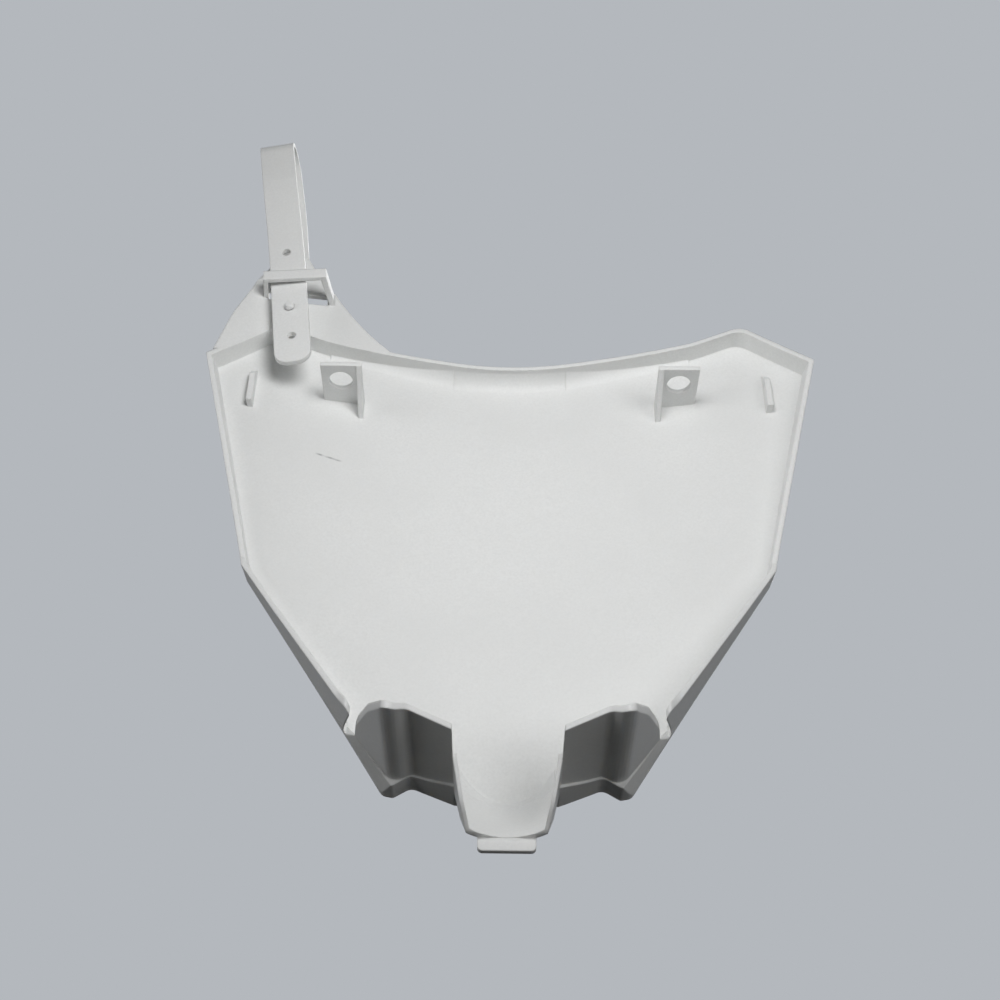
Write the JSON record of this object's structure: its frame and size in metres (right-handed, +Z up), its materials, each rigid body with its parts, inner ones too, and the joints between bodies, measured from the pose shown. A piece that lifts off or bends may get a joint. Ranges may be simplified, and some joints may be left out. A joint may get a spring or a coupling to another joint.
{
  "type": "motorcycle front number board",
  "caption": "Moulded front number board for an off-road motorcycle, with a turned edge, bracket shelves, a scooped foot and a buttoned strap.",
  "frame": {"origin": "midway between the two bracket holes, at the middle of the shelves' thickness", "axes": "+X across the board, to the right as seen from the rider's side, +Y forwards to the printed side, +Z up the face of the board"},
  "size_m": [0.2452, 0.0546, 0.3358],
  "materials": {
    "moulding": "satin moulded polypropylene"
  },
  "bodies": {
    "root": {"number_board": "moulding"}
  },
  "joints": []
}
